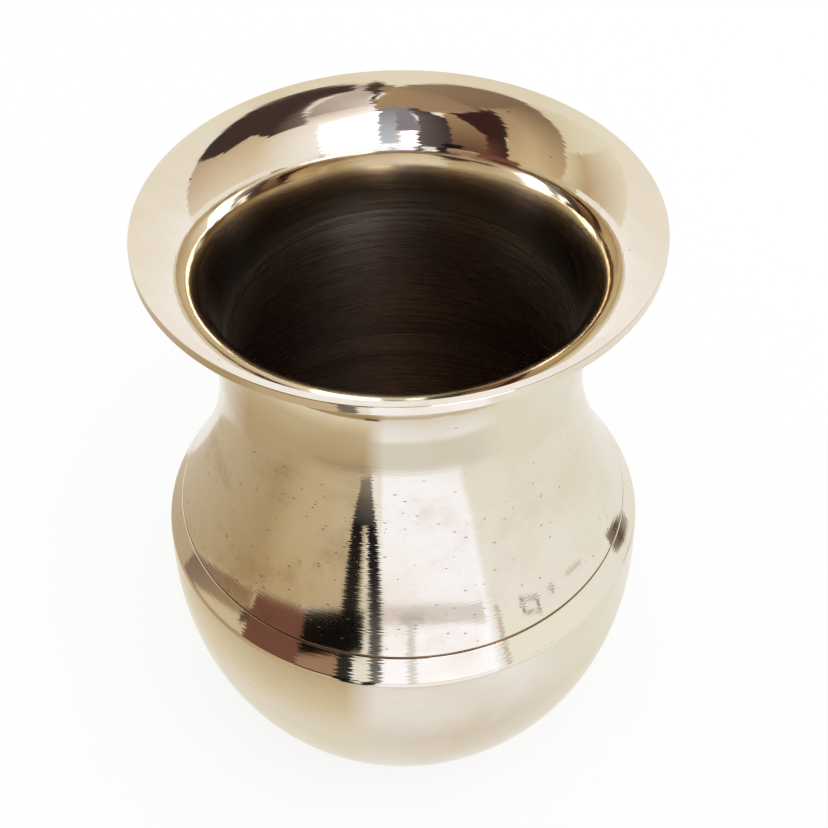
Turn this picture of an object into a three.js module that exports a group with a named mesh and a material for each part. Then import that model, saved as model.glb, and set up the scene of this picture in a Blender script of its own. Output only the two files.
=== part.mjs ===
// A lota: a round-bellied metal water pot with a flared mouth.
// It is cast as two shells, which meet in a spigot joint and are brazed along one fine seam.
// Millimetres, +Z up. The origin is the centre of the face that the pot stands on.
import * as THREE from 'three';

// Heights above the table
const HEIGHT = 131.5;        // top of the lip
const NECK_HEIGHT = 96.5;    // narrowest ring of the neck
const SEAM_HEIGHT = 60;      // middle of the brazed seam
const BELLY_HEIGHT = 52.3;   // greatest girth

// Radii of the outside
const RIM_RADIUS = 50;
const NECK_RADIUS = 36.6;
const BELLY_RADIUS = 51.4;
const BASE_RADIUS = 27;

// Thickness of the metal
const WALL = 2.2;            // square to the surface
const FLOOR = 3;             // bottom, measured from the table

// Mouth
const LIP_ANGLE = THREE.MathUtils.degToRad(34.5);  // rise of the flare from level, at the lip
const THROAT_DEPTH = 9.8;    // below the top of the lip, where the line of the neck bends into the flare
const LIP_BEVEL_WIDTH = 2.3; // flat band turned on top of the lip
const LIP_BEVEL_DROP = 0.9;

// Edge: the belly rolls over into the shoulder just above the greatest girth
const EDGE_RADIUS = 6;
const SHOULDER_ANGLE = THREE.MathUtils.degToRad(33);  // lean of the shoulder from upright, above the edge

// Pull of the outline: how far it runs on straight before it bends away
const BASE_PULL = 8.1;
const BELLY_PULL_DOWN = 35.6;
const SHOULDER_PULL_UP = 3.2;
const NECK_PULL_DOWN = 19.7;
const FLARE_PULL = 8.6;

// Foot: a ring left standing round a shallow turned recess
const FOOT_WIDTH = 6;
const FOOT_RECESS = 0.8;

// Joint between the shells
const SPIGOT_WALL = 1.4;
const SPIGOT_LENGTH = 3;     // how far the spigot reaches below the middle of the seam
const SPIGOT_GAP = 0.3;      // braze between the spigot and the bowl
const SEAM_WIDTH = 0.4;      // braze between the two faced edges
const SEAM_DEPTH = 0.15;     // how far the braze lies below the polished outside

// Fineness of the turned surfaces
const FACETS = 60;
const STEPS = { belly: 10, edge: 3, shoulder: 9, flare: 11 };
const LEAST_STEP = 0.3;      // share of a step that has to be left before an end, or the step is dropped
const HALVINGS = 60;         // of the interval, when a place on the outline is searched for

// Tones of the metals
const POLISHED_BRONZE = { color: 0xd2bd93, metalness: 1, roughness: 0.2 };
const BRAZE_METAL = { color: 0x8a5f3a, metalness: 1, roughness: 0.45 };

const point = (radius, height) => new THREE.Vector2(radius, height);

// The outside outline, in stretches from the edge of the foot up to the flare
const belly = new THREE.CubicBezierCurve(
  point(BASE_RADIUS, 0),
  point(BASE_RADIUS + BASE_PULL, 0),
  point(BELLY_RADIUS, BELLY_HEIGHT - BELLY_PULL_DOWN),
  point(BELLY_RADIUS, BELLY_HEIGHT),
);
const edge = new THREE.EllipseCurve(
  BELLY_RADIUS - EDGE_RADIUS, BELLY_HEIGHT, EDGE_RADIUS, EDGE_RADIUS, 0, SHOULDER_ANGLE,
);
const shoulderFoot = edge.getPoint(1);
const shoulderRise = edge.getTangent(1);
const shoulder = new THREE.CubicBezierCurve(
  shoulderFoot,
  shoulderFoot.clone().addScaledVector(shoulderRise, SHOULDER_PULL_UP),
  point(NECK_RADIUS, NECK_HEIGHT - NECK_PULL_DOWN),
  point(NECK_RADIUS, NECK_HEIGHT),
);

// The neck bends over into the flare in one curve.
// Its inside ends at the lower edge of the bevel on the lip.
const bevelEdge = point(RIM_RADIUS - LIP_BEVEL_WIDTH, HEIGHT - LIP_BEVEL_DROP);
const flareRise = point(Math.cos(LIP_ANGLE), Math.sin(LIP_ANGLE));
const flareUnder = point(flareRise.y, -flareRise.x);
const flareEnd = bevelEdge.clone().addScaledVector(flareUnder, WALL);
const flare = new THREE.CubicBezierCurve(
  point(NECK_RADIUS, NECK_HEIGHT),
  point(NECK_RADIUS, HEIGHT - THROAT_DEPTH),
  flareEnd.clone().addScaledVector(flareRise, -FLARE_PULL),
  flareEnd,
);
const lipUnder = flareEnd.clone().addScaledVector(flareRise, (RIM_RADIUS - flareEnd.x) / flareRise.x);
const lipTop = point(RIM_RADIUS, HEIGHT);

// A place on the outline is a number: its whole part picks the stretch, the rest runs along it.
const stretches = [
  { curve: belly, steps: STEPS.belly },
  { curve: edge, steps: STEPS.edge },
  { curve: shoulder, steps: STEPS.shoulder },
  { curve: flare, steps: STEPS.flare },
];
const SHOULDER_START = 2;
const NECK_START = 3;
const LIP_END = stretches.length;

function locate(place) {
  const index = Math.min(Math.floor(place), stretches.length - 1);
  return { curve: stretches[index].curve, part: place - index };
}

function outside(place) {
  const { curve, part } = locate(place);
  return curve.getPoint(part);
}

// The inside lies one wall in from the outside, square to it.
function inside(place) {
  const { curve, part } = locate(place);
  const tangent = curve.getTangent(part);
  return curve.getPoint(part).add(point(-tangent.y, tangent.x).multiplyScalar(WALL));
}

// Finds the place between low and high where a measure of the outline, which rises or falls, is zero.
function findPlace(measure, low, high) {
  const rising = measure(high) > measure(low);
  let [start, end] = [low, high];
  for (let halving = 0; halving < HALVINGS; halving += 1) {
    const middle = (start + end) / 2;
    if ((measure(middle) > 0) === rising) end = middle;
    else start = middle;
  }
  return (start + end) / 2;
}

const atHeight = (surface, height) => findPlace((place) => surface(place).y - height, 0, LIP_END);

// Points of a surface from one place up to another, with the even steps of each stretch between
function trace(surface, from, to) {
  const places = [from];
  stretches.forEach(({ steps }, index) => {
    for (let step = 0; step < steps; step += 1) {
      const place = index + step / steps;
      const margin = LEAST_STEP / steps;
      if (place > from + margin && place < to - margin) places.push(place);
    }
  });
  places.push(to);
  return places.map(surface);
}

// The joint: the upper shell is bored straight and its spigot stands inside the rim of the bowl.
const upperFace = SEAM_HEIGHT + SEAM_WIDTH / 2;
const lowerFace = SEAM_HEIGHT - SEAM_WIDTH / 2;
const spigotEnd = SEAM_HEIGHT - SPIGOT_LENGTH;
const upperFaceOutside = atHeight(outside, upperFace);
const lowerFaceOutside = atHeight(outside, lowerFace);
const lowerFaceInside = atHeight(inside, lowerFace);
const seatRadius = Math.min(inside(lowerFaceInside).x, inside(atHeight(inside, spigotEnd)).x);
const spigotRadius = seatRadius - SPIGOT_GAP;
const boreRadius = spigotRadius - SPIGOT_WALL;
const boreTop = findPlace((place) => inside(place).x - boreRadius, SHOULDER_START, NECK_START);

// A solid turned about the pot's axis from a closed outline
function turned(name, outline, metal) {
  const geometry = new THREE.LatheGeometry(outline, FACETS);
  geometry.rotateX(Math.PI / 2);
  const mesh = new THREE.Mesh(geometry, new THREE.MeshStandardMaterial(metal));
  mesh.name = name;
  return mesh;
}

const closed = (outline) => [...outline, outline[0].clone()];

// Upper shell: shoulder, neck and flared mouth, with the spigot below the shoulder's edge
function upperShell() {
  return turned('upper_shell', closed([
    point(spigotRadius, spigotEnd),
    point(spigotRadius, upperFace),
    ...trace(outside, upperFaceOutside, LIP_END),
    lipUnder,
    lipTop,
    ...trace(inside, boreTop, LIP_END).reverse(),
    point(boreRadius, spigotEnd),
  ]), POLISHED_BRONZE);
}

// Lower bowl: the belly and the bottom, with a flat faced rim and a turned foot
function lowerBowl() {
  const footInside = BASE_RADIUS - FOOT_WIDTH;
  return turned('lower_bowl', [
    point(0, FOOT_RECESS),
    point(footInside, FOOT_RECESS),
    point(footInside, 0),
    ...trace(outside, 0, lowerFaceOutside),
    ...trace(inside, atHeight(inside, FLOOR), lowerFaceInside).reverse(),
    point(0, FLOOR),
  ], POLISHED_BRONZE);
}

// Braze: a flat ring between the faced edges, and a sleeve round the spigot
function seamBraze() {
  const brazeOutside = outside(upperFaceOutside).x - SEAM_DEPTH;
  return turned('seam_braze', closed([
    point(spigotRadius, spigotEnd),
    point(seatRadius, spigotEnd),
    point(seatRadius, lowerFace),
    point(brazeOutside, lowerFace),
    point(brazeOutside, upperFace),
    point(spigotRadius, upperFace),
  ]), BRAZE_METAL);
}

const lota = new THREE.Group();
lota.name = 'lota';
lota.add(upperShell(), lowerBowl(), seamBraze());

export default lota;
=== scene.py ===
# %% [markdown]
# # A lota, turned and polished
#
# A lota is a round water pot with a hollow neck and a wide flared mouth. This one is cast as two open
# shells, brazed together along one fine line, then turned on a lathe and polished. The lesson loads the
# measured solids as a fixed frame, and gives each of them its fine outline, its finish and its light.

# %% The measured frame
import math

import bpy
import numpy as np
from mathutils import Matrix, Vector


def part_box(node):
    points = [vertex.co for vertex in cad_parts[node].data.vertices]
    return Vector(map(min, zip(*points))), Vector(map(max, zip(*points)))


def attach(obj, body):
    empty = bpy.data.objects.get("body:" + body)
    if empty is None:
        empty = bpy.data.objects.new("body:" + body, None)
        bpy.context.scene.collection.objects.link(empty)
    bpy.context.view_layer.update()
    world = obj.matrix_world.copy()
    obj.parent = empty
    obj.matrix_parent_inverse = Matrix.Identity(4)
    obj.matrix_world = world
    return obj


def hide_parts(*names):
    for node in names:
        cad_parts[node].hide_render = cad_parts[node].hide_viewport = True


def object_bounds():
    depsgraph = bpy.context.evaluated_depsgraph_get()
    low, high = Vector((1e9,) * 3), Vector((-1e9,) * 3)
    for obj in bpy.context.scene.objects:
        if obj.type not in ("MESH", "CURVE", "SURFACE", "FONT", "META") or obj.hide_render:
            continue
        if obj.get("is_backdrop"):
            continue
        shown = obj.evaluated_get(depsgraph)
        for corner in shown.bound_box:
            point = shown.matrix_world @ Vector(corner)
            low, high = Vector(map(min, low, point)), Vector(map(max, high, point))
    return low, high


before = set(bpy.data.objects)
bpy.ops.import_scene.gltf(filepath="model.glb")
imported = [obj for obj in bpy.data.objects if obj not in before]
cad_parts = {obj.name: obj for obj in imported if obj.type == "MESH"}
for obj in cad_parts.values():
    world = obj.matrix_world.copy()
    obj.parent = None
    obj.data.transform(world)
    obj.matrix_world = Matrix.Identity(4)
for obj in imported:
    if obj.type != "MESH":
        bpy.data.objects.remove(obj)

cad_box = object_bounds()
print("solids:", ", ".join(sorted(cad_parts)))

# %% [markdown]
# ## The sizes
#
# Sizes that a solid can tell are read from its box, so the fine pieces always sit where the solids are.
# The rest repeat the measured outline, in millimetres. Heights start at the table, and radii at the axis.

# %% Sizes in millimetres
MM = 0.001

shell_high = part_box("upper_shell")[1]
bowl_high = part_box("lower_bowl")[1]
seam_low, seam_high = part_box("seam_braze")

HEIGHT = shell_high.z / MM
RIM = shell_high.x / MM
BELLY = bowl_high.x / MM
UPPER_FACE = seam_high.z / MM
LOWER_FACE = bowl_high.z / MM
SPIGOT_END = seam_low.z / MM

NECK_HEIGHT, NECK = 96.5, 36.6
GIRTH_HEIGHT, GIRTH = 46.0, BELLY - 0.25
EDGE_HEIGHT, EDGE_LEAN = 54.4, math.radians(3)
EDGE_ROLL, SHOULDER_ANGLE = 2.4, math.radians(33)
BASE, WALL, FLOOR = 27.0, 2.2, 3.0
LIP_ANGLE, LIP_ANGLE_INSIDE, THROAT_DEPTH = math.radians(34.5), math.radians(26), 9.8
BEVEL_WIDTH, BEVEL_DROP = 2.3, 0.9
BASE_PULL, BELLY_PULL_DOWN = 8.1, 29.3
SHOULDER_PULL_UP, NECK_PULL_DOWN, FLARE_PULL = 3.2, 19.7, 8.6
FOOT_WIDTH, FOOT_RECESS = 6.0, 0.8
SPIGOT_WALL, SPIGOT_GAP, SEAM_DEPTH = 1.4, 0.3, 0.12

print(f"{HEIGHT:.1f} mm tall, mouth {2 * RIM:.1f} mm, belly {2 * GIRTH:.1f} mm")

# %% [markdown]
# ## Drawing an outline
#
# A turned piece is one outline swung round an axis, so all its care goes into that outline. It is drawn
# here as strokes: each holds points and the direction that the surface faces there. Those directions are
# kept exactly, because polished metal shows every error in them as a kink in its reflections.

# %% Strokes
def facing(tangents):
    """Unit normals on the right-hand side of the way that a stroke runs."""
    tangents = np.asarray(tangents, float)
    tangents = tangents / np.linalg.norm(tangents, axis=-1, keepdims=True)
    return np.stack([tangents[..., 1], -tangents[..., 0]], axis=-1)


def line(start, end):
    points = np.array([start, end], float)
    return points, facing(np.repeat(points[1:] - points[:1], 2, axis=0))


def bend(a, b, c, d, count):
    a, b, c, d = (np.array(p, float) for p in (a, b, c, d))
    t = np.linspace(0, 1, count)[:, None]
    points = (1 - t) ** 3 * a + 3 * (1 - t) ** 2 * t * b + 3 * (1 - t) * t ** 2 * c + t ** 3 * d
    tangents = (1 - t) ** 2 * (b - a) + 2 * (1 - t) * t * (c - b) + t ** 2 * (d - c)
    return points, facing(tangents)


def arc(centre, radius, start, end, count):
    angles = np.linspace(start, end, count)
    spokes = np.stack([np.cos(angles), np.sin(angles)], axis=-1)
    tangents = np.sign(end - start) * np.stack([-spokes[:, 1], spokes[:, 0]], axis=-1)
    return np.array(centre) + radius * spokes, facing(tangents)


print("a stroke drawn upwards faces", facing((0, 1)))

# %% [markdown]
# ## Joining and trimming strokes
#
# Strokes that run on smoothly are joined into one. A wall has two sides, so a stroke can also be set in by
# the thickness of the metal, and a piece takes the part of it that lies between two heights.

# %% Joined, set in and trimmed
TINY = 1e-6


def joined(*strokes):
    points = np.concatenate([s[0] if i == 0 else s[0][1:] for i, s in enumerate(strokes)])
    normals = np.concatenate([s[1] if i == 0 else s[1][1:] for i, s in enumerate(strokes)])
    return points, normals


def backwards(stroke):
    return stroke[0][::-1], stroke[1][::-1]


def inset(stroke, depth):
    """The other side of a wall, square to the stroke."""
    return stroke[0] - depth * stroke[1], -stroke[1]


def between(stroke, low, high):
    """The part of a rising stroke between two heights."""
    heights = stroke[0][:, 1]
    kept = (heights > low + TINY) & (heights < high - TINY)

    def trimmed(values):
        first, last = np.stack([np.interp((low, high), heights, values[:, k]) for k in (0, 1)], axis=-1)
        return np.vstack([first, values[kept], last])

    return trimmed(stroke[0]), trimmed(stroke[1])


print("an upright stroke set in by one wall lies at", inset(line((NECK, 0), (NECK, 1)), WALL)[0][0])

# %% [markdown]
# ## The outside and the inside of the pot
#
# The belly swells to the greatest girth and leans in a little above it, then rolls over a crisp edge and
# runs on as a hollow shoulder. From the narrowest ring of the neck one more curve bends over into the flare,
# up to the lip. The inside is the same outline, one wall thickness in, but the polisher has laid the flare a
# little flatter inside, so that the lip ends slightly stronger.

# %% Outline of the wall
BELLY_STEPS, BROW_STEPS, EDGE_STEPS, SHOULDER_STEPS, FLARE_STEPS = 64, 10, 14, 64, 72


def rising(angle):
    """A unit step that climbs at this angle from level, away from the axis."""
    return np.array([math.cos(angle), math.sin(angle)])


bevel_edge = np.array([RIM - BEVEL_WIDTH, HEIGHT - BEVEL_DROP])
flare_rise, inside_rise = rising(LIP_ANGLE), rising(LIP_ANGLE_INSIDE)
flare_end = bevel_edge + WALL * np.array([flare_rise[1], -flare_rise[0]])

belly = bend((BASE, 0), (BASE + BASE_PULL, 0),
             (GIRTH, GIRTH_HEIGHT - BELLY_PULL_DOWN), (GIRTH, GIRTH_HEIGHT), BELLY_STEPS)
brow_arc = (EDGE_HEIGHT - GIRTH_HEIGHT) / math.sin(EDGE_LEAN)
brow = arc((GIRTH - brow_arc, GIRTH_HEIGHT), brow_arc, 0, EDGE_LEAN, BROW_STEPS)
edge = arc(brow[0][-1] - EDGE_ROLL * rising(EDGE_LEAN), EDGE_ROLL, EDGE_LEAN, SHOULDER_ANGLE, EDGE_STEPS)
shoulder_foot = edge[0][-1]
shoulder_rise = np.array([-math.sin(SHOULDER_ANGLE), math.cos(SHOULDER_ANGLE)])
shoulder = bend(shoulder_foot, shoulder_foot + SHOULDER_PULL_UP * shoulder_rise,
                (NECK, NECK_HEIGHT - NECK_PULL_DOWN), (NECK, NECK_HEIGHT), SHOULDER_STEPS)
flare = bend((NECK, NECK_HEIGHT), (NECK, HEIGHT - THROAT_DEPTH),
             flare_end - FLARE_PULL * flare_rise, flare_end, FLARE_STEPS)
lip_under = line(flare_end, flare_end + (RIM - flare_end[0]) / flare_rise[0] * flare_rise)
bore_of_neck = NECK - WALL
flare_inside = bend((bore_of_neck, NECK_HEIGHT), (bore_of_neck, HEIGHT - THROAT_DEPTH),
                    bevel_edge - FLARE_PULL * inside_rise, bevel_edge, FLARE_STEPS)

body = joined(belly, brow, edge, shoulder)
outside = joined(body, flare, lip_under)
inside = joined(inset(body, WALL), inset(flare_inside, 0))
print(f"outline: {len(outside[0])} points outside, {len(inside[0])} inside")

# %% [markdown]
# ## Edges that a finger could feel
#
# No turned edge is perfectly sharp: the polisher's wheel rounds it by a tenth of a millimetre or two.
# Each corner between two strokes gets such a small arc. A bevel modifier could round them too, but it would
# lose the exact directions that the strokes carry.

# %% Rounded corners
CORNER_STEPS = 5


def corner(stroke, following, radius):
    """Points and normals of the small arc, and how far back it starts on both strokes."""
    place = stroke[0][-1]
    n_in, n_out = stroke[1][-1], following[1][0]
    t_in, t_out = np.array([-n_in[1], n_in[0]]), np.array([-n_out[1], n_out[0]])
    turn = math.atan2(t_in[0] * t_out[1] - t_in[1] * t_out[0], float(t_in @ t_out))
    reach = radius * math.tan(abs(turn) / 2)
    side = math.copysign(1, turn)
    centre = place - reach * t_in - side * radius * n_in
    angles = np.linspace(0, turn, CORNER_STEPS + 1)
    normals = np.stack([n_in[0] * np.cos(angles) - n_in[1] * np.sin(angles),
                        n_in[0] * np.sin(angles) + n_in[1] * np.cos(angles)], axis=-1)
    return centre + side * radius * normals, normals, reach


USUAL_ROUNDING = 0.2
lip_reach = corner(line((RIM, 0), (RIM, HEIGHT)), line((RIM, HEIGHT), bevel_edge), USUAL_ROUNDING)[2]
print(f"on the lip an arc of {USUAL_ROUNDING} mm starts {lip_reach:.2f} mm before the corner")

# %% [markdown]
# ## One outline for each piece
#
# The strokes of a piece meet end to end. They are trimmed back to make room for the corner arcs, and the
# whole is strung together. A ring, such as the upper casting, closes on itself; the bowl starts and ends on
# the axis.

# %% Strokes strung together
TRIM = 1.02


def chained(strokes, radii, closed):
    """One outline from strokes that meet end to end, with a rounded corner after each."""
    points, normals = [], []
    count = len(strokes)
    corners = {}
    for i in range(count if closed else count - 1):
        corners[i] = corner(strokes[i], strokes[(i + 1) % count], radii[i])
    for i, (p, n) in enumerate(strokes):
        keep = np.ones(len(p), bool)
        if i in corners:
            keep &= np.linalg.norm(p - p[-1], axis=1) > corners[i][2] * TRIM + TINY
        before = (i - 1) % count
        if before in corners and (closed or i > 0):
            keep &= np.linalg.norm(p - p[0], axis=1) > corners[before][2] * TRIM + TINY
        points.append(p[keep])
        normals.append(n[keep])
        if i in corners:
            points.append(corners[i][0])
            normals.append(corners[i][1])
    return np.concatenate(points), np.concatenate(normals)


print(f"strokes end {100 * (TRIM - 1):.0f} percent further back than their corner arcs start")

# %% [markdown]
# ## A wall made by hand
#
# No cast and turned wall is perfectly round. Waves of a few hundredths of a millimetre round the pot keep
# the reflections from looking drawn with a ruler. They only go inwards, so the pot never outgrows its solid.

# %% Unevenness
UNEVEN = 0.03
WAVES = ((0.5, 2, 0.7, 31), (0.3, 3, 2.1, -19), (0.16, 5, 4.0, 11), (0.1, 9, 1.3, -8))


def unevenness(turn, height):
    """Hundredths of a millimetre, always inwards."""
    waves = sum(tall * np.sin(lobes * turn + start + height / pitch) for tall, lobes, start, pitch in WAVES)
    return UNEVEN * (waves - sum(wave[0] for wave in WAVES))


dips = -unevenness(np.linspace(0, 2 * math.pi, 360), GIRTH_HEIGHT)
print(f"at the girth the wall dips by {dips.min():.3f} to {dips.max():.3f} mm")

# %% [markdown]
# ## Swinging the outline round the axis
#
# A lathe turns the outline into rings of points. Two numbers travel with every point for the finish: how
# far along the outline it lies, so that tool marks can run round the pot, and how raw the metal is there,
# from 0 on the polished outside to 1 in the unpolished belly.

# %% Rings of points
SEGMENTS = 224
TURNS = np.arange(SEGMENTS) * 2 * math.pi / SEGMENTS + math.pi / 2


def ringed(outline, rawness):
    """Place, facing, travel and rawness of every point, and the number of the first point in each ring."""
    points, normals = outline
    steps = np.linalg.norm(np.diff(points, axis=0), axis=1)
    travel = np.concatenate([[0], np.cumsum(steps)])
    places, facings, alongs, raws, firsts = [], [], [], [], []
    for (radius, height), normal, travelled, left_raw in zip(points, normals, travel, rawness):
        firsts.append(len(places))
        for turn in [0.0] if radius < TINY else TURNS:
            wide = max(radius + (unevenness(turn, height) if radius > BASE else 0.0), 0.0)
            c, s = math.cos(turn), math.sin(turn)
            places.append((wide * c * MM, wide * s * MM, max(height, 0.0) * MM))
            facings.append((normal[0] * c, normal[0] * s, normal[1]))
            alongs.append(travelled)
            raws.append(left_raw)
    return places, facings, alongs, raws, firsts


print(f"{SEGMENTS} points to a ring, {2 * math.pi * RIM / SEGMENTS:.1f} mm apart on the lip")

# %% [markdown]
# ## A skin over the rings
#
# Each ring is joined to the next with four-sided faces, and with three-sided ones where the next ring is a
# single point on the axis. Blender's screw modifier could swing the outline too, but then the unevenness and
# the exact directions would have to be put in afterwards.

# %% The lathe
def skin(firsts, on_axis, closed):
    faces = []
    count = len(firsts)
    for ring in range(count if closed else count - 1):
        following = (ring + 1) % count
        a, b = firsts[ring], firsts[following]
        for j in range(SEGMENTS):
            k = (j + 1) % SEGMENTS
            if on_axis[ring]:
                faces.append((a, b + k, b + j))
            elif on_axis[following]:
                faces.append((a + j, a + k, b))
            else:
                faces.append((a + j, a + k, b + k, b + j))
    return faces


def turned(name, outline, rawness, closed):
    places, facings, alongs, raws, firsts = ringed(outline, rawness)
    faces = skin(firsts, outline[0][:, 0] < TINY, closed)
    mesh = bpy.data.meshes.new(name)
    mesh.from_pydata(places, [], faces)
    mesh.update()
    for label, values in (("along", alongs), ("raw", raws)):
        layer = mesh.attributes.new(label, "FLOAT", "POINT")
        layer.data.foreach_set("value", np.array(values, np.float32))
    mesh.shade_smooth()
    mesh.normals_split_custom_set_from_vertices(facings)
    piece = bpy.data.objects.new(name, mesh)
    bpy.context.scene.collection.objects.link(piece)
    print(f"{name}: {len(firsts)} points on the outline, {len(faces)} faces")
    return piece


# %% [markdown]
# ## Where the metal is raw
#
# The wheel reaches down the flare and just into the throat. Below that the inner wall is left as it was cut,
# so the rawness grows with depth, and it is 0 on every outside surface.

# %% Rawness
RAW_START, RAW_FULL = 119.5, 89.5
OUTER_SKIN = 0.8


def rawness_of(outline):
    """0 outside; inside it rises from 0 at the height RAW_START to 1 at RAW_FULL."""
    radii, heights = outline[0].T
    depth = np.clip((RAW_START - heights) / (RAW_START - RAW_FULL), 0, 1)
    gap = np.interp(heights, outside[0][:, 1], outside[0][:, 0]) - radii
    return np.where(gap > OUTER_SKIN, depth, 0.0)


fade = f"{HEIGHT - RAW_START:.0f} and {HEIGHT - RAW_FULL:.0f} mm"
print(f"inside, the polish fades between {fade} below the lip")

# %% [markdown]
# ## Mouth and shoulder
#
# The upper casting carries everything that a hand and a stream of water meet: the shoulder, the neck, the
# flare and the lip. The lip is cut upright outside and bevelled on top. Below, a straight spigot reaches
# into the bowl.

# %% Upper casting
def radius_at(stroke, height):
    return float(np.interp(height, stroke[0][:, 1], stroke[0][:, 0]))


seat = min(radius_at(inside, LOWER_FACE), radius_at(inside, SPIGOT_END))
spigot = seat - SPIGOT_GAP
bore = spigot - SPIGOT_WALL
hollow = between(inside, LOWER_FACE, NECK_HEIGHT)[0][::-1]
bore_top = float(np.interp(bore, hollow[:, 0], hollow[:, 1]))

UPPER_CORNERS = (0.22, 0.16, 0.1, 0.3, 0.1, 0.1, 0.05, 0.05)
lip_corner = outside[0][-1]
upper_strokes = [
    between(outside, UPPER_FACE, lip_corner[1]),
    line(lip_corner, (RIM, HEIGHT)),
    line((RIM, HEIGHT), bevel_edge),
    backwards(between(inside, bore_top, bevel_edge[1])),
    line((bore, bore_top), (bore, SPIGOT_END)),
    line((bore, SPIGOT_END), (spigot, SPIGOT_END)),
    line((spigot, SPIGOT_END), (spigot, UPPER_FACE)),
    line((spigot, UPPER_FACE), (radius_at(outside, UPPER_FACE), UPPER_FACE)),
]
upper_outline = chained(upper_strokes, UPPER_CORNERS, closed=True)
mouth = turned("mouth_and_shoulder", upper_outline, rawness_of(upper_outline), closed=True)

# %% [markdown]
# ## Bowl
#
# The lower casting is the belly and the bottom. Its rim is faced flat to take the upper casting, and a
# shallow recess under the bottom leaves a ring to stand on, which never rocks.

# %% Lower casting
LOWER_CORNERS = (0.2, 0.2, 0.3, 0.05, 0.1, 1.5)
foot_inside = BASE - FOOT_WIDTH
lower_outside = between(outside, 0, LOWER_FACE)
lower_inside = between(inside, FLOOR, LOWER_FACE)
lower_strokes = [
    line((0, FOOT_RECESS), (foot_inside, FOOT_RECESS)),
    line((foot_inside, FOOT_RECESS), (foot_inside, 0)),
    line((foot_inside, 0), (BASE, 0)),
    lower_outside,
    line(lower_outside[0][-1], lower_inside[0][-1]),
    backwards(lower_inside),
    line(lower_inside[0][0], (0, FLOOR)),
]
lower_outline = chained(lower_strokes, LOWER_CORNERS, closed=False)
bowl = turned("belly_bowl", lower_outline, rawness_of(lower_outline), closed=False)

# %% [markdown]
# ## Braze
#
# Brazing metal fills the joint and shows outside as one thin ring. It is scraped just below the polished
# surface, and its corners are melted round. A hair of room all round keeps it from touching the castings.

# %% Brazed ring
SKIN = 0.02
BRAZE_CORNERS = (0.06, 0.03, 0.03, 0.03, 0.03, 0.06)
braze_bottom, braze_top = LOWER_FACE + SKIN, UPPER_FACE - SKIN
braze_inside, sleeve_outside = spigot + SKIN, seat - SKIN
braze_places = [
    (radius_at(outside, LOWER_FACE) - SEAM_DEPTH, braze_bottom),
    (radius_at(outside, UPPER_FACE) - SEAM_DEPTH, braze_top),
    (braze_inside, braze_top),
    (braze_inside, SPIGOT_END),
    (sleeve_outside, SPIGOT_END),
    (sleeve_outside, braze_bottom),
]
braze_strokes = [line(*ends) for ends in zip(braze_places, braze_places[1:] + braze_places[:1])]
braze_outline = chained(braze_strokes, BRAZE_CORNERS, closed=True)
braze = turned("braze_line", braze_outline, np.zeros(len(braze_outline[0])), closed=True)

# %% [markdown]
# ## Node helpers
#
# A procedural finish is a small chain of nodes. These helpers make one node and wire it in a single line,
# so the finishes below read as recipes. A plain value is set on the socket itself.

# %% Helpers for nodes
def make(tree, kind, links=(), **settings):
    node = tree.nodes.new(kind)
    for key, value in settings.items():
        setattr(node, key, value)
    for socket, source in dict(links).items():
        if isinstance(source, bpy.types.NodeSocket):
            tree.links.new(source, node.inputs[socket])
        else:
            node.inputs[socket].default_value = source
    return node


def maths(tree, operation, *values):
    return make(tree, "ShaderNodeMath", dict(enumerate(values)), operation=operation).outputs[0]


def vectors(tree, operation, *values):
    return make(tree, "ShaderNodeVectorMath", dict(enumerate(values)), operation=operation).outputs[0]


def ranged(tree, value, low, high, to_low=0.0, to_high=1.0):
    limits = {"Value": value, "From Min": low, "From Max": high, "To Min": to_low, "To Max": to_high}
    return make(tree, "ShaderNodeMapRange", limits, interpolation_type="SMOOTHSTEP").outputs["Result"]


def mixed(tree, share, first, second):
    return make(tree, "ShaderNodeMix", {0: share, 6: first, 7: second}, data_type="RGBA").outputs[2]


print("helpers:", ", ".join(helper.__name__ for helper in (make, maths, vectors, ranged, mixed)))

# %% [markdown]
# ## Shared effects
#
# An effect that may serve several metals is a node group with named sockets. It is built once, and each
# material places it with its own values.

# %% Helpers for groups
FLOAT, VECTOR = "NodeSocketFloat", "NodeSocketVector"


def group(name, inputs, outputs):
    tree = bpy.data.node_groups.new(name, "ShaderNodeTree")
    for way, sockets in (("INPUT", inputs), ("OUTPUT", outputs)):
        for label, kind in sockets.items():
            tree.interface.new_socket(label, in_out=way, socket_type=kind)
    print(f"group {name} puts out", ", ".join(outputs))
    return tree, tree.nodes.new("NodeGroupInput").outputs, tree.nodes.new("NodeGroupOutput").inputs


def use(tree, shared, links):
    return make(tree, "ShaderNodeGroup", links, node_tree=shared).outputs


# %% [markdown]
# ## Turning marks
#
# The cutter leaves fine rings round the pot, and the wheel never takes them all away. Noise that changes
# fast along the outline and slowly round the axis draws such rings, broken here and there as real ones are.
# Each ring also faces a hair to one side, which gives straight reflections a fine saw edge.

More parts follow.
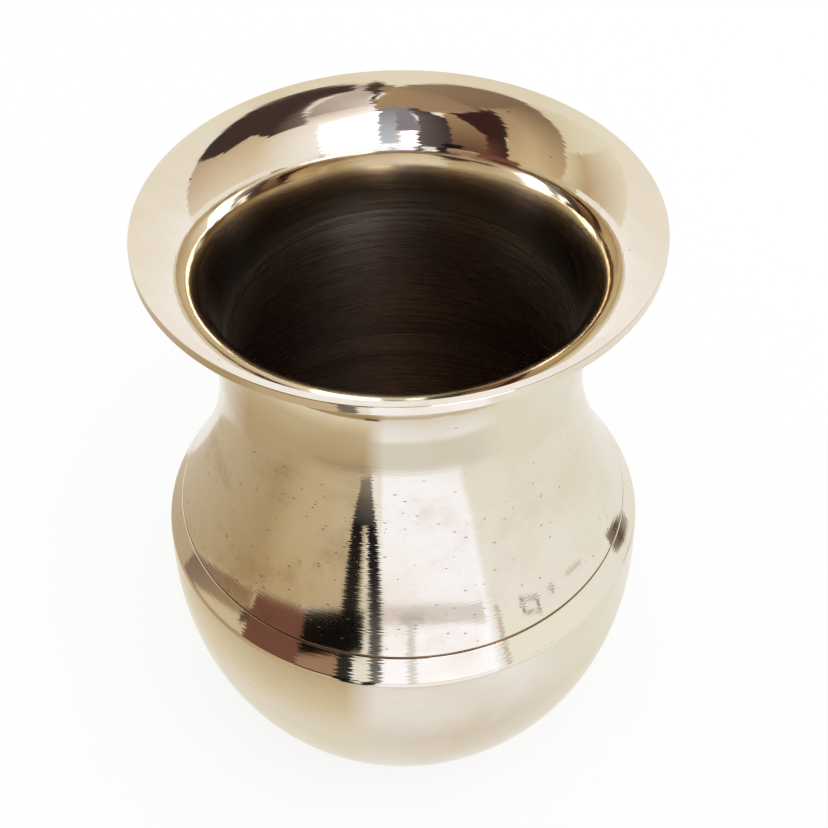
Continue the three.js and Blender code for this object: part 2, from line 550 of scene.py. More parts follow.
# %% Shared effect: turning marks
turning_marks, came, goes = group("turning_marks", {"Place": VECTOR, "Along": FLOAT, "Waver": FLOAT},
                                  {"Fine": FLOAT, "Coarse": FLOAT, "Wavering": VECTOR})
split = make(turning_marks, "ShaderNodeSeparateXYZ", {"Vector": came["Place"]}).outputs
for label, fineness, drift in (("Fine", 3.2, 26.0), ("Coarse", 1.2, 40.0)):
    swept = make(turning_marks, "ShaderNodeCombineXYZ", {
        "X": maths(turning_marks, "MULTIPLY", split["X"], drift),
        "Y": maths(turning_marks, "MULTIPLY", split["Y"], drift),
        "Z": maths(turning_marks, "MULTIPLY", came["Along"], fineness),
    })
    rings = make(turning_marks, "ShaderNodeTexNoise",
                 {"Vector": swept.outputs[0], "Scale": 1.0, "Detail": 2.0, "Roughness": 0.6})
    turning_marks.links.new(rings.outputs["Fac"], goes[label])

RINGS_PER_MM = 3.0
normal = make(turning_marks, "ShaderNodeNewGeometry").outputs["Normal"]
sideways = vectors(turning_marks, "CROSS_PRODUCT", (0.0, 0.0, 1.0), normal)
ring_by_ring = make(turning_marks, "ShaderNodeTexNoise", {
    "W": maths(turning_marks, "MULTIPLY", came["Along"], RINGS_PER_MM), "Scale": 1.0, "Detail": 1.0,
}, noise_dimensions="1D")
sway = maths(turning_marks, "MULTIPLY",
             maths(turning_marks, "SUBTRACT", ring_by_ring.outputs["Fac"], 0.5), came["Waver"])
swayed = make(turning_marks, "ShaderNodeVectorMath", {0: sideways, "Scale": sway}, operation="SCALE")
leaning = vectors(turning_marks, "ADD", normal, swayed.outputs[0])
turning_marks.links.new(vectors(turning_marks, "NORMALIZE", leaning), goes["Wavering"])

# %% [markdown]
# ## Casting pits
#
# Gas in the mould leaves tiny pits, drawn out sideways by the turning. They gather in patches, mostly on
# the shoulder, and hold dark polish. Where they crowd, the metal round them is stained brown. Each cell of a
# flattened cell texture draws lots for a pit, with a better chance inside a patch.

# %% Shared effect: casting pits
PIT_CELLS = (520.0, 520.0, 1500.0)
SHOULDER_FADE_IN, SHOULDER_FADE_OUT = (0.054, 0.064), (0.104, 0.092)
LEAST_CHANCE = 0.015

casting_pits, came, goes = group("casting_pits", {"Place": VECTOR}, {"Pits": FLOAT, "Stain": FLOAT})
flat = vectors(casting_pits, "MULTIPLY", came["Place"], PIT_CELLS)
cells = make(casting_pits, "ShaderNodeTexVoronoi", {"Vector": flat, "Scale": 1.0}).outputs
draw = make(casting_pits, "ShaderNodeSeparateColor", {"Color": cells["Color"]}).outputs
patches = make(casting_pits, "ShaderNodeTexNoise", {
    "Vector": came["Place"], "Scale": 80.0, "Detail": 4.0, "Roughness": 0.65}).outputs["Fac"]
side = make(casting_pits, "ShaderNodeSeparateXYZ", {"Vector": came["Place"]}).outputs
height_share = maths(casting_pits, "MULTIPLY", ranged(casting_pits, side["Z"], *SHOULDER_FADE_IN),
                     ranged(casting_pits, side["Z"], *SHOULDER_FADE_OUT))
left_share = ranged(casting_pits, side["X"], 0.03, -0.01, 0.25, 1.0)
crowding = maths(casting_pits, "MULTIPLY", height_share, left_share)
crowded = maths(casting_pits, "MULTIPLY", crowding, ranged(casting_pits, patches, 0.36, 0.66, 0.15, 0.75))
picked = maths(casting_pits, "LESS_THAN", draw["Red"], maths(casting_pits, "ADD", LEAST_CHANCE, crowded))
width = maths(casting_pits, "MULTIPLY", picked, ranged(casting_pits, draw["Green"], 0.0, 1.0, 0.1, 0.26))
pit = ranged(casting_pits, maths(casting_pits, "SUBTRACT", width, cells["Distance"]), 0.0, 0.1)
stain = maths(casting_pits, "MULTIPLY", crowding, ranged(casting_pits, patches, 0.46, 0.74))
casting_pits.links.new(pit, goes["Pits"])
casting_pits.links.new(stain, goes["Stain"])

# %% [markdown]
# ## Tarnish
#
# Bronze dulls in the air. A faint brown bloom lies in soft clouds over the polish.

# %% Shared effect: tarnish
tarnish, came, goes = group("tarnish", {"Place": VECTOR}, {"Bloom": FLOAT})
clouds = make(tarnish, "ShaderNodeTexNoise",
              {"Vector": came["Place"], "Scale": 28.0, "Detail": 4.0, "Roughness": 0.6, "Distortion": 0.4})
tarnish.links.new(ranged(tarnish, clouds.outputs["Fac"], 0.42, 0.72), goes["Bloom"])

# %% [markdown]
# ## Bronze
#
# One finish serves both castings. Outside it is a pale mirror. Inside it is raw: dark, dull, and combed by
# the cutter. The number that came with each point blends the two, and it does so twice: going down the
# throat, the metal first loses its gloss, and a little deeper its colour. That darker colour is the raw metal
# of the belly, and higher in the throat, where the wall is still polished, it is painted shade.

# %% Bronze: what it reads
def bare(name):
    """A material with nothing in its tree but an output."""
    material = bpy.data.materials.new(name)
    material.use_nodes = True
    tree = material.node_tree
    tree.nodes.clear()
    return material, tree, make(tree, "ShaderNodeOutputMaterial").inputs["Surface"]


def metal(name):
    material, tree, surface = bare(name)
    shader = make(tree, "ShaderNodeBsdfPrincipled", {"Metallic": 1.0})
    tree.links.new(shader.outputs[0], surface)
    return material, tree, shader


bronze, tree, shader = metal("polished_bronze")
place = make(tree, "ShaderNodeTexCoord").outputs["Object"]
along = make(tree, "ShaderNodeAttribute", attribute_name="along").outputs["Fac"]
raw = make(tree, "ShaderNodeAttribute", attribute_name="raw").outputs["Fac"]
marks = use(tree, turning_marks, {"Place": place, "Along": along, "Waver": 0.05})
spots = use(tree, casting_pits, {"Place": place})
bloom = use(tree, tarnish, {"Place": place})["Bloom"]
dulled = ranged(tree, raw, 0.04, 0.55)
# Where the base colour turns dark inside: the raw metal of the belly, and painted shade higher up in the
# polished throat.
raw_and_throat_shade = ranged(tree, raw, 0.2, 0.6)
combed = ranged(tree, marks["Coarse"], 0.35, 0.68)
print(f"{bronze.name} starts from {len(tree.nodes)} nodes")

# %% [markdown]
# ## Colour of the bronze
#
# The polish is a pale gold, a little browner under the bloom, in the stains and in the pits. A metal's base
# colour tints all that it mirrors, so these tones are what the reflections are multiplied by.

# %% Bronze: colour
CLEAN, BROWNED = (0.81, 0.745, 0.615, 1), (0.73, 0.625, 0.455, 1)
STAINED, PITTED = (0.5, 0.38, 0.23, 1), (0.22, 0.145, 0.08, 1)
RAW_AND_SHADE_DARK, RAW_AND_SHADE_COMBED = (0.25, 0.19, 0.155, 1), (0.42, 0.33, 0.27, 1)

polished = CLEAN
for mask, most, tone in ((bloom, 0.7, BROWNED),
                         (spots["Stain"], 0.55, STAINED),
                         (spots["Pits"], 0.75, PITTED)):
    polished = mixed(tree, maths(tree, "MULTIPLY", mask, most), polished, tone)
# The dark inner tones: real raw metal in the belly, and painted shade in the upper throat, where the wall is
# polished.
raw_and_shaded_tone = mixed(tree, combed, RAW_AND_SHADE_DARK, RAW_AND_SHADE_COMBED)
tree.links.new(mixed(tree, raw_and_throat_shade, polished, raw_and_shaded_tone), shader.inputs["Base Color"])
print(f"{bronze.name} has {len(tree.nodes)} nodes with its colour")

# %% [markdown]
# ## Gloss of the bronze
#
# Roughness spreads a reflection. Inside, the rings left by the cutter spread it across themselves and hardly
# along, so light from the mouth lies on the inner wall in streaks. The shader calls this anisotropic, and
# needs to know which way the rings run: round the axis.

# %% Bronze: gloss
POLISH_ROUGH, BLOOM_ROUGH, PIT_ROUGH = 0.04, 0.05, 0.2
RAW_ROUGH, COMBED_ROUGH = 0.32, 0.25
RING_SHEEN, QUARTER_TURN = 0.9, 0.25

smooth_rough = maths(tree, "ADD", maths(tree, "MULTIPLY", bloom, BLOOM_ROUGH), POLISH_ROUGH)
smooth_rough = maths(tree, "ADD", smooth_rough, maths(tree, "MULTIPLY", spots["Pits"], PIT_ROUGH))
rough_rough = ranged(tree, combed, 0.0, 1.0, RAW_ROUGH, COMBED_ROUGH)
roughness = make(tree, "ShaderNodeMix", {0: dulled, 2: smooth_rough, 3: rough_rough}, data_type="FLOAT")
tree.links.new(roughness.outputs[0], shader.inputs["Roughness"])
tree.links.new(maths(tree, "MULTIPLY", dulled, RING_SHEEN), shader.inputs["Anisotropic"])
shader.inputs["Anisotropic Rotation"].default_value = QUARTER_TURN
round_the_axis = make(tree, "ShaderNodeTangent", direction_type="RADIAL", axis="Z")
tree.links.new(round_the_axis.outputs["Tangent"], shader.inputs["Tangent"])
print(f"roughness {POLISH_ROUGH} on clean polish, {RAW_ROUGH} on raw metal")

# %% [markdown]
# ## Relief of the bronze
#
# What is left are marks too fine to model: the last rings and the pits outside, and coarser rings inside.
# Two bump nodes in a row add them, each on top of the direction that the one before gives.

# %% Bronze: relief
PIT_DEPTH = -1.5
OUTER_RELIEF = {"Strength": 0.015, "Distance": 0.0002}
INNER_RELIEF = {"Strength": 0.25, "Distance": 0.0005}

outer_height = maths(tree, "ADD", marks["Fine"], maths(tree, "MULTIPLY", spots["Pits"], PIT_DEPTH))
inner_height = maths(tree, "MULTIPLY", marks["Coarse"], dulled)
bumped = marks["Wavering"]
for relief, height in ((OUTER_RELIEF, outer_height), (INNER_RELIEF, inner_height)):
    bumped = make(tree, "ShaderNodeBump", {**relief, "Height": height, "Normal": bumped}).outputs[0]
tree.links.new(bumped, shader.inputs["Normal"])

for piece, node in ((mouth, "upper_shell"), (bowl, "lower_bowl")):
    piece.data.materials.append(bronze)
    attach(piece, "root")
    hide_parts(node)
    print(f"{piece.name} stands for {node}")

# %% [markdown]
# ## Brazing metal
#
# The filler is browner than the bronze and never takes the same polish, so it reads as a fine brown line.

# %% Braze finish
FILLER, FILLER_DARK = (0.24, 0.135, 0.065, 1), (0.14, 0.08, 0.045, 1)

filler, tree, shader = metal("braze_metal")
place = make(tree, "ShaderNodeTexCoord").outputs["Object"]
bloom = use(tree, tarnish, {"Place": place})["Bloom"]
tree.links.new(mixed(tree, bloom, FILLER, FILLER_DARK), shader.inputs["Base Color"])
tree.links.new(ranged(tree, bloom, 0.0, 1.0, 0.42, 0.55), shader.inputs["Roughness"])
braze.data.materials.append(filler)
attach(braze, "root")
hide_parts("seam_braze")
print(f"{braze.name} stands for seam_braze")

# %% [markdown]
# ## Camera
#
# The picture looks down into the mouth from close by, about 44 degrees above level, with a short
# telephoto lens. The place, the lens and the small tilt were solved from the ellipses of the rim and seam.

# %% Camera
CAMERA_PLACE = (0, -0.2262, 0.3069)
CAMERA_ELEVATION = math.radians(44.26)
CAMERA_ROLL = math.radians(-1.01)

camera_data = bpy.data.cameras.new("camera")
camera_data.sensor_width, camera_data.lens = 36.0, 66.68
camera_data.shift_x, camera_data.shift_y = 0.0155, -0.0278
camera_data.clip_start = 0.01
camera = bpy.data.objects.new("camera", camera_data)
bpy.context.scene.collection.objects.link(camera)
ahead = Vector((0, math.cos(CAMERA_ELEVATION), -math.sin(CAMERA_ELEVATION)))
up = Vector((0, math.sin(CAMERA_ELEVATION), math.cos(CAMERA_ELEVATION)))
right = Vector((1, 0, 0))
turned_right = math.cos(CAMERA_ROLL) * right + math.sin(CAMERA_ROLL) * up
turned_up = math.cos(CAMERA_ROLL) * up - math.sin(CAMERA_ROLL) * right
axes = Matrix((turned_right, turned_up, -ahead)).transposed().to_4x4()
camera.matrix_world = Matrix.Translation(CAMERA_PLACE) @ axes
bpy.context.scene.camera = camera
print(f"camera {Vector(CAMERA_PLACE).length / MM:.0f} mm from the foot, lens {camera_data.lens:.1f} mm")

# %% [markdown]
# ## Table and sky
#
# Polished metal has hardly a colour of its own: it shows the room. The room here is a white table under an
# even white sky, a tall window in front, and plain cards that only the metal sees. To the eye the table
# mostly glows, so that it stays white, and it still takes a soft shadow from the pot.

# %% Table
TABLE_HALF, TABLE_GLOW = 4, 0.78
TABLE_WHITE = (0.92, 0.92, 0.92, 1)


def plate(name, corners, faces):
    mesh = bpy.data.meshes.new(name)
    mesh.from_pydata(corners, [], faces)
    mesh.update()
    thing = bpy.data.objects.new(name, mesh)
    bpy.context.scene.collection.objects.link(thing)
    thing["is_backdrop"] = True
    return thing


table = plate("table", [(x * TABLE_HALF, y * TABLE_HALF, 0) for x, y in ((-1, -1), (1, -1), (1, 1), (-1, 1))],
              [(0, 1, 2, 3)])
table.visible_glossy = False
cloth, tree, surface = bare("table_white")
matt = make(tree, "ShaderNodeBsdfDiffuse", {"Color": TABLE_WHITE})
white = make(tree, "ShaderNodeEmission", {"Strength": 1.0})
path = make(tree, "ShaderNodeLightPath").outputs
mirrored = maths(tree, "MAXIMUM", path["Is Glossy Ray"], path["Is Transmission Ray"])
seen = maths(tree, "MAXIMUM", path["Is Camera Ray"], mirrored)
glowing = maths(tree, "MULTIPLY", seen, TABLE_GLOW)
blend = make(tree, "ShaderNodeMixShader", {0: glowing, 1: matt.outputs[0], 2: white.outputs[0]})
tree.links.new(blend.outputs[0], surface)
table.data.materials.append(cloth)

world = bpy.data.worlds.new("sky")
bpy.context.scene.world = world
world.use_nodes = True
sky = world.node_tree.nodes["Background"].inputs
sky["Color"].default_value = (1, 1, 1, 1)
sky["Strength"].default_value = 1.0
print(f"table {2 * TABLE_HALF} m wide under a white sky")

# %% [markdown]
# ## A patch that shades off
#
# Real walls are never one flat tone. Each patch is a small grid: its corners run round from the lower left,
# each may have a tone of its own, and places and tones are blended evenly between them. Only reflections see
# a patch: not the camera, and no shadow or soft light.

# %% Patches
ACROSS, TALL = 20, 12
hung = []

cards_glow, tree, surface = bare("cards_glow")
tone = make(tree, "ShaderNodeAttribute", attribute_name="tone").outputs["Color"]
glow = make(tree, "ShaderNodeEmission", {"Color": tone, "Strength": 1.0})
tree.links.new(glow.outputs[0], surface)


def patch(name, corners, tones, placed):
    """A patch whose corners are blended evenly, each given a place by the function placed."""
    tones = [tones] * 4 if not isinstance(tones[0], tuple) else tones
    places, colours, faces = [], [], []
    for j in range(TALL + 1):
        for i in range(ACROSS + 1):
            u, v = i / ACROSS, j / TALL
            shares = ((1 - u) * (1 - v), u * (1 - v), u * v, (1 - u) * v)
            places.append(placed(*(sum(s * c[k] for s, c in zip(shares, corners)) for k in (0, 1))))
            colours.append([sum(s * t[k] for s, t in zip(shares, tones)) for k in range(3)] + [1.0])
    for j in range(TALL):
        for i in range(ACROSS):
            a = j * (ACROSS + 1) + i
            faces.append((a, a + 1, a + ACROSS + 2, a + ACROSS + 1))
    thing = plate(name, places, faces)
    layer = thing.data.color_attributes.new("tone", "FLOAT_COLOR", "POINT")
    layer.data.foreach_set("color", np.array(colours, np.float32).ravel())
    thing.data.materials.append(cards_glow)
    thing.visible_camera = thing.visible_diffuse = False
    thing.visible_shadow = thing.visible_transmission = False
    hung.append(name)


print(f"{ACROSS * TALL} faces to a patch")

# %% [markdown]
# ## Cards on a dome, sheets on the table
#
# A card is a patch of a large dome round the pot. Its corners are given as a bearing and a height above
# level, in degrees: bearing 0 is where the camera stands, and it grows to the right. A patch of the sheet
# lies on the table instead, between two bearings and two distances from the axis.

# %% Cards and sheets
DOME, LAYER, DOME_CENTRE = 12.0, 0.04, 0.07
SHEET_LIFT = 0.0003


def upright(bearings, heights):
    (a, b), (c, d) = bearings, heights
    return (a, c), (b, c), (b, d), (a, d)


def card(name, corners, tones):
    """A card on the dome, nearer than all the cards hung before it."""
    distance = DOME - LAYER * len(hung)

    def placed(bearing, height):
        az, el = math.radians(bearing), math.radians(height)
        return (distance * math.sin(az) * math.cos(el), -distance * math.cos(az) * math.cos(el),
                DOME_CENTRE + distance * math.sin(el))

    patch(name, corners, tones, placed)


def laid(name, bearings, reach, tones):
    """A patch of the sheet on the table, between two bearings and two distances in millimetres."""
    def placed(bearing, distance):
        az = math.radians(bearing)
        return distance * math.sin(az) * MM, -distance * math.cos(az) * MM, SHEET_LIFT

    patch(name, upright(bearings, reach), tones, placed)


print(f"the dome is {DOME:.0f} m away, and the sheet lies {SHEET_LIFT / MM:.1f} mm over the table")

# %% [markdown]
# ## The sheet on the table
#
# The belly sees little but the table, which is not one even white: on the left it is golden, with a dark
# edge. In front, under the window, the sheet holds a painted pool of cool window light, and next to the foot,
# all round, a painted shadow of the pot. Four runs of tone, from the foot outwards, blend into one another
# round the pot.

# %% Sheet
# The first tones out from the foot are a painted shadow of the pot, and the brightest tone in front is a
# painted pool of window light.
PALE, FOOT_SHADOW, GREY = (0.90, 0.89, 0.86), (0.85, 0.82, 0.74), (0.83, 0.79, 0.78)
COOL, WINDOW_POOL, SILVER = (0.93, 0.93, 0.98), (1.0, 1.02, 1.12), (0.80, 0.79, 0.77)
STRAW, GOLD, AMBER = (0.78, 0.70, 0.55), (0.61, 0.51, 0.35), (0.54, 0.42, 0.27)
DARK_EDGE = (0.16, 0.125, 0.09)
RINGS = (32, 60, 76, 96, 101, 116, 119)
GOLDEN = (FOOT_SHADOW, FOOT_SHADOW, STRAW, GOLD, GOLD, AMBER, AMBER)
EDGED = (FOOT_SHADOW, FOOT_SHADOW, STRAW, GOLD, GOLD, AMBER, DARK_EDGE)
WINDOWED = (PALE, GREY, COOL, WINDOW_POOL, SILVER, SILVER, SILVER)
PLAIN = (FOOT_SHADOW, FOOT_SHADOW, PALE, PALE, PALE, PALE, PALE)
for name, bearings, left, right in (("sheet_far_left", (-135, -100), PLAIN, GOLDEN),
                                    ("sheet_left", (-100, -58), GOLDEN, GOLDEN),
                                    ("sheet_edge", (-58, -21), GOLDEN, EDGED),
                                    ("sheet_turn", (-21, -10), EDGED, WINDOWED),
                                    ("sheet_front", (-10, 40), WINDOWED, WINDOWED),
                                    ("sheet_right", (40, 60), WINDOWED, PLAIN),
                                    ("sheet_back", (60, 225), PLAIN, PLAIN)):
    for k, reach in enumerate(zip(RINGS, RINGS[1:])):
        laid(f"{name}_{k}", bearings, reach, (left[k], right[k], right[k + 1], left[k + 1]))
print(f"{len(hung)} patches laid")

# %% [markdown]
# ## The floor and the left side
#
# The shoulder looks out level and down. On the left it sees a warm floor, which ends at a low wall and a
# dark brown corner.

# %% Floor and left side
CREAM, TAN, BROWN, DEEP = (0.80, 0.73, 0.62), (0.62, 0.53, 0.41), (0.55, 0.45, 0.32), (0.48, 0.37, 0.22)
WARM, SAND = (0.61, 0.49, 0.32), (0.67, 0.58, 0.44)
card("floor_back", upright((150, 180), (-52, -10)), (PALE, CREAM, CREAM, PALE))
card("floor_back_left", upright((-180, -140), (-52, -16)), (CREAM, TAN, TAN, CREAM))
card("floor_far_left", ((-140, -52), (-108, -52), (-108, -11), (-140, -16)), (TAN, BROWN, BROWN, TAN))
card("floor_left", ((-108, -52), (-77, -52), (-77, -7), (-108, -11)), (BROWN, DEEP, DEEP, BROWN))
card("floor_middle", ((-77, -52), (-60, -52), (-60, -5), (-77, -7)), (DEEP, WARM, WARM, DEEP))
card("floor_front", ((-60, -52), (-20, -52), (-20, -4), (-60, -5)), (WARM, SAND, SAND, WARM))
card("floor_right", upright((40, 150), (-52, -4)),
     ((0.96, 0.97, 0.98), PALE, (0.94, 0.94, 0.93), (1.0, 1.0, 1.06)))
card("wall_left", ((-106, -15), (-68, -7.4), (-68, 12), (-106, 12)), (0.70, 0.60, 0.44))
card("umber_block", ((-106.5, -14.8), (-70, -7.4), (-70, -2), (-107, -10)),
     ((0.26, 0.18, 0.15), (0.40, 0.27, 0.15), (0.46, 0.34, 0.21), (0.30, 0.22, 0.18)))
card("knob", upright((-72.5, -69), (-4, -1)), (0.12, 0.09, 0.07))
card("brown_wall", ((-69, -7.4), (-44, -4), (-44, 12), (-69, 12)), (0.20, 0.09, 0.07))
card("brown_shelf", upright((-44.5, -27), (4, 11.5)), (0.40, 0.25, 0.17))
card("black_block", upright((-44.5, -18.2), (-4.2, 5.2)), (0.007, 0.006, 0.006))
print(f"{len(hung)} cards and patches so far")

# %% [markdown]
# ## Posts and window
#
# Two dark posts lean together below and draw the strong dark lines down the shoulder. The window beside
# them is cooler than the walls and bright enough to burn out, with a sill and a faint middle bar.

# %% Posts and window
POST = (0.016, 0.015, 0.018)
GLASS, GLASS_LOW, GLASS_EDGE = (1.25, 1.32, 1.62), (1.16, 1.20, 1.42), (0.97, 0.98, 1.0)
card("post_left", ((-28.2, -30), (-22.3, -30), (-21, -3.5), (-28.8, -3.5)), POST)
card("post_left_top", upright((-28, -21.7), (5, 12)), (0.03, 0.028, 0.028))
card("post_right", ((-20, -30), (-14.8, -30), (-10.8, -5), (-16.6, -5)), POST)
card("post_right_top", ((-16.6, -5), (-10.8, -5), (-9.8, 13), (-13.8, 13)),
     (POST, POST, (0.25, 0.25, 0.25), (0.20, 0.20, 0.20)))
card("posts_foot", ((-26.8, -49), (-20, -49.5), (-14.8, -29), (-28.2, -29)),
     ((0.25, 0.22, 0.19), (0.30, 0.27, 0.24), (0.045, 0.045, 0.055), (0.02, 0.02, 0.024)))
card("window", upright((-9.6, 36), (-1, 13)), GLASS)
card("window_low", ((-13.5, -52), (36, -52), (36, -5), (-10.6, -5)), GLASS_LOW)
card("sill", upright((-10.6, 36), (-5.3, -1)), (0.86, 0.84, 0.93))
card("window_side", upright((35.5, 40), (-52, 13)), (GLASS_LOW, GLASS_EDGE, GLASS_EDGE, GLASS))
card("middle_bar", upright((0.8, 4), (-2, 13)), (0.86, 0.88, 0.98))
card("middle_foot", upright((-1.7, 8.3), (-3.1, -1.4)), (0.60, 0.60, 0.66))
print(f"{len(hung)} cards and patches so far")

# %% [markdown]
# ## The right side
#
# The right side is pale and nearly bare. A few small things on it draw fine dark touches on the metal.

# %% Right side
FRAME = (0.34, 0.30, 0.26)
card("thin_post", upright((40.3, 42.4), (-4.5, 13)), (0.72, 0.67, 0.62))
for k, (bearings, heights) in enumerate((((52.5, 53.6), (-5.2, -2.3)), ((59.6, 60.8), (-6, -3.2)),
                                         ((52.5, 60.8), (-2.9, -2.4)), ((52.5, 60.8), (-5.7, -5.2)),
                                         ((67.8, 69.2), (-7.8, -6.4)))):
    card(f"frame_{k}", upright(bearings, heights), FRAME)
card("low_line", ((77.5, -9.9), (87.5, -12.4), (87.5, -11.9), (77.5, -9.3)), (0.62, 0.56, 0.48))
card("dark_thing", ((106, -16.8), (115, -19.5), (112, -15), (105, -13)),
     ((0.30, 0.25, 0.20), (0.10, 0.08, 0.07), (0.12, 0.09, 0.08), (0.36, 0.30, 0.25)))
card("dark_thing_end", ((115, -19.5), (123, -21.5), (121, -19), (112, -15)),
     ((0.10, 0.08, 0.07), (0.50, 0.45, 0.40), (0.60, 0.55, 0.50), (0.12, 0.09, 0.08)))
print(f"{len(hung)} cards and patches so far")

# %% [markdown]
# ## The room above, left
#
# The flare looks upwards, so it shows the upper half of the room: a warm ceiling, khaki walls on the left,
# and the dark corner that grows wider towards the top.

# %% Upper left
CORNER, CORNER_RED, CORNER_BLACK = (0.06, 0.026, 0.022), (0.17, 0.075, 0.05), (0.05, 0.021, 0.021)
KHAKI_PALE, KHAKI, KHAKI_DEEP = (0.82, 0.76, 0.60), (0.80, 0.67, 0.46), (0.58, 0.43, 0.27)
SHADE, SHADE_DEEP, CREAMY = (0.66, 0.53, 0.36), (0.56, 0.41, 0.26), (0.92, 0.90, 0.81)
CEILING, CEILING_MID, CEILING_DEEP = (0.45, 0.32, 0.20), (0.36, 0.25, 0.17), (0.23, 0.15, 0.11)
BEHIND, BEHIND_HIGH = (1.12, 1.12, 1.24), (0.90, 0.86, 0.76)
DUSK, DUSK_BLUE = (0.058, 0.042, 0.046), (0.16, 0.135, 0.14)
card("back_light", upright((127, 235), (-4, 68)), (BEHIND, BEHIND, BEHIND_HIGH, BEHIND_HIGH))
card("zenith", upright((127, 240), (68, 90)), (0.92, 0.88, 0.79))
card("ceiling", upright((-60, 20), (58, 90)), (CEILING_MID, CEILING, CEILING, CEILING_MID))
card("ceiling_left", upright((-122, -60), (58, 90)), (CEILING_DEEP, CEILING_DEEP, CEILING_MID, CEILING_MID))
card("ceiling_far", upright((20, 150), (84, 90)), CEILING_MID)
card("khaki_wall", ((-100, 12), (-76, 12), (-82, 67), (-122, 67)), (KHAKI_DEEP, KHAKI, CEILING, CEILING_DEEP))
card("khaki_side", ((-76, 12), (-60, 12), (-68, 67), (-82, 67)),
     (KHAKI, (0.66, 0.47, 0.30), CEILING, CEILING))
card("wall_far", ((-140, 12), (-112, 12), (-112, 44), (-140, 52)), (CREAMY, SHADE_DEEP, SHADE, CREAMY))
card("wall_edge", ((-112, 12), (-95, 12), (-101, 40), (-112, 44)),
     (SHADE_DEEP, KHAKI_PALE, KHAKI_PALE, SHADE))
card("wall_high", ((-140, 50), (-101, 40), (-110, 52), (-122, 67)),
     (CREAMY, KHAKI_PALE, KHAKI_PALE, KHAKI_PALE))
card("brown_upper", ((-52, 12), (-28, 12), (-30, 60), (-48, 62)), (CORNER_RED, CORNER_RED, CEILING, CEILING))
card("wedge_low", ((-62, 12), (-50, 12), (-50, 33), (-62, 33)), (CORNER, CORNER_RED, CORNER, CORNER_BLACK))
card("wedge_middle", ((-62, 33), (-50, 33), (-41, 50), (-68, 50)), CORNER_BLACK)
card("wedge_high", ((-68, 50), (-41, 50), (-36, 58), (-76, 66.5)), CORNER_BLACK)
card("grey_corner", ((-30, 12), (-11, 12), (-13, 52), (-30, 51)), (DUSK, DUSK_BLUE, DUSK_BLUE, DUSK))
card("grey_tip", ((-30, 51), (-13, 52), (-6, 64), (-14, 63)), (DUSK, DUSK_BLUE, DUSK_BLUE, DUSK))
card("dark_spot", upright((-36, -25), (12, 17)), (0.016, 0.011, 0.011))
print(f"{len(hung)} cards and patches so far")

# %% [markdown]
# ## The room above, right
#
# The window reaches high, under a blue-grey lintel. To its right the walls are pale, and dark beams run
# along their top.

# %% Upper right
LINTEL, LINTEL_PALE, LINTEL_HIGH = (0.29, 0.27, 0.35), (0.66, 0.76, 0.98), (0.28, 0.27, 0.32)
PANE, PANE_LARGE, GLARE, HAZE = (2.2, 2.3, 2.7), (4.6, 4.8, 5.4), (1.3, 1.3, 1.45), (0.68, 0.58, 0.55)
HAZE_DEEP = (0.4, 0.33, 0.3)
LIT, GILT, GILT_DEEP, RUST = (1.1, 1.1, 1.2), (0.88, 0.81, 0.68), (0.70, 0.55, 0.38), (0.58, 0.43, 0.31)
BEAM, BEAM_PALE, DARK_ARC = (0.062, 0.042, 0.038), (0.26, 0.21, 0.20), (0.08, 0.055, 0.045)
card("lintel_left", ((-14, 31), (0, 31), (0, 64), (-9, 63)), LINTEL)
card("lintel_right", ((0, 12), (10, 12), (14, 62), (0, 67)),
     (LINTEL_PALE, LINTEL_PALE, LINTEL_HIGH, LINTEL_HIGH))
card("pane_bar", ((-3, 12), (0, 12), (0, 31), (-3, 31)), (0.75, 0.76, 0.82))
card("pane_left", ((-12, 12), (-2.5, 12), (-2, 29), (-10, 31)), PANE)
card("pane_middle", ((-1, 12), (8, 12), (8, 15), (-1, 15)), PANE)
card("pane_large", ((9.5, 12), (40, 12), (46, 49), (12, 60)), PANE_LARGE)
card("glare", ((13, 58), (47, 47), (62, 60), (18, 70)), (GLARE, GLARE, HAZE, (1.0, 0.98, 1.05)))
card("haze", ((18, 70), (62, 60), (92, 83), (46, 85.5)),
     ((0.9, 0.86, 0.88), (0.42, 0.35, 0.34), HAZE, (0.52, 0.44, 0.40)))
card("haze_far", upright((84, 125), (82, 85)), (HAZE, HAZE_DEEP, HAZE_DEEP, HAZE))
card("wall_right", ((40, 12), (84, 12), (84, 53), (47, 49)), (LIT, GILT, GILT_DEEP, LIT))
card("wall_far_right", ((84, 12), (127, 12), (127, 46), (84, 55)),
     (GILT, (0.86, 0.78, 0.71), RUST, GILT_DEEP))
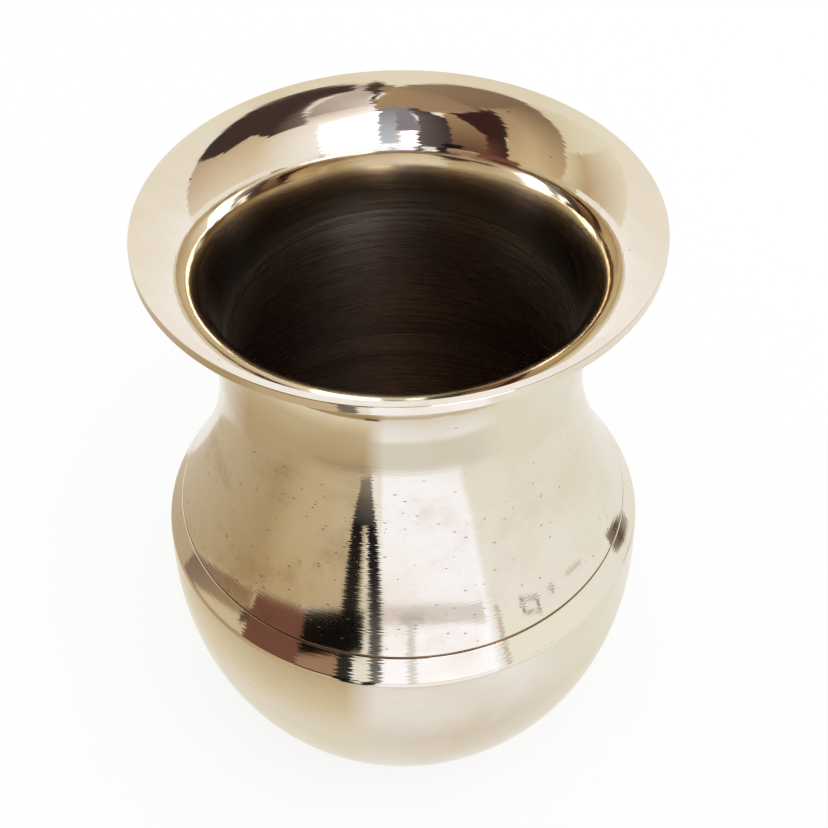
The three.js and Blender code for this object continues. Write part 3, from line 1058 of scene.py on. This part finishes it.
card("beam_left", ((56, 53), (78, 47.5), (93, 76), (64, 61)), (BEAM_PALE, BEAM, BEAM, BEAM_PALE))
card("beam_middle", ((78, 47.5), (96, 54), (96, 79), (90, 74)), BEAM)
card("beam_right", ((94, 54), (107, 46), (107, 82.5), (90, 82.5)), BEAM)
card("beam_end", ((107, 46), (127, 45), (127, 82.5), (107, 82.5)), BEAM)
card("arc_low", ((16, 69), (20, 71), (35, 82), (28, 83)), DARK_ARC)
card("arc_high", ((30, 81), (50, 84), (50, 86.5), (30, 84.5)), DARK_ARC)
card("arc_top", ((48, 84), (150, 85), (150, 88), (48, 86.5)), DARK_ARC)
card("olive_shelf", ((63, 5), (72, 5), (71, 9), (64, 9)), (0.22, 0.19, 0.15))
print(f"{len(hung)} cards and patches in all")

# %% [markdown]
# ## Soft key light
#
# One broad lamp on the window's side gives the table its soft shadow. The metal doesn't see it, because a
# square lamp would show in the polish.

# %% Lamp
LAMP_PLACE, LAMP_SIDE, LAMP_POWER = Vector((0.5, -1.0, 1.4)), 1.2, 6.0

lamp_data = bpy.data.lights.new("soft_key", "AREA")
lamp_data.shape = "RECTANGLE"
lamp_data.size = lamp_data.size_y = LAMP_SIDE
lamp_data.energy = LAMP_POWER
lamp = bpy.data.objects.new("soft_key", lamp_data)
bpy.context.scene.collection.objects.link(lamp)
lamp.location = LAMP_PLACE
lamp.rotation_mode = "QUATERNION"
lamp.rotation_quaternion = LAMP_PLACE.to_track_quat("Z", "Y")
lamp.visible_glossy = False
bpy.context.scene.view_settings.view_transform = "Standard"
print(f"lamp {LAMP_PLACE.length:.1f} m away, {LAMP_SIDE} m wide")

# %% [markdown]
# ## Sizes kept
#
# The dressed pot is meant to stay inside the box of the solids, so both boxes are printed.

# %% Finish
size = {"cad": [list(cad_box[0]), list(cad_box[1])]}
visual_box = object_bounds()
size["visual"] = [list(visual_box[0]), list(visual_box[1])]
print("boxes in mm:", [[round(v / MM, 3) for v in end] for box in size.values() for end in box])
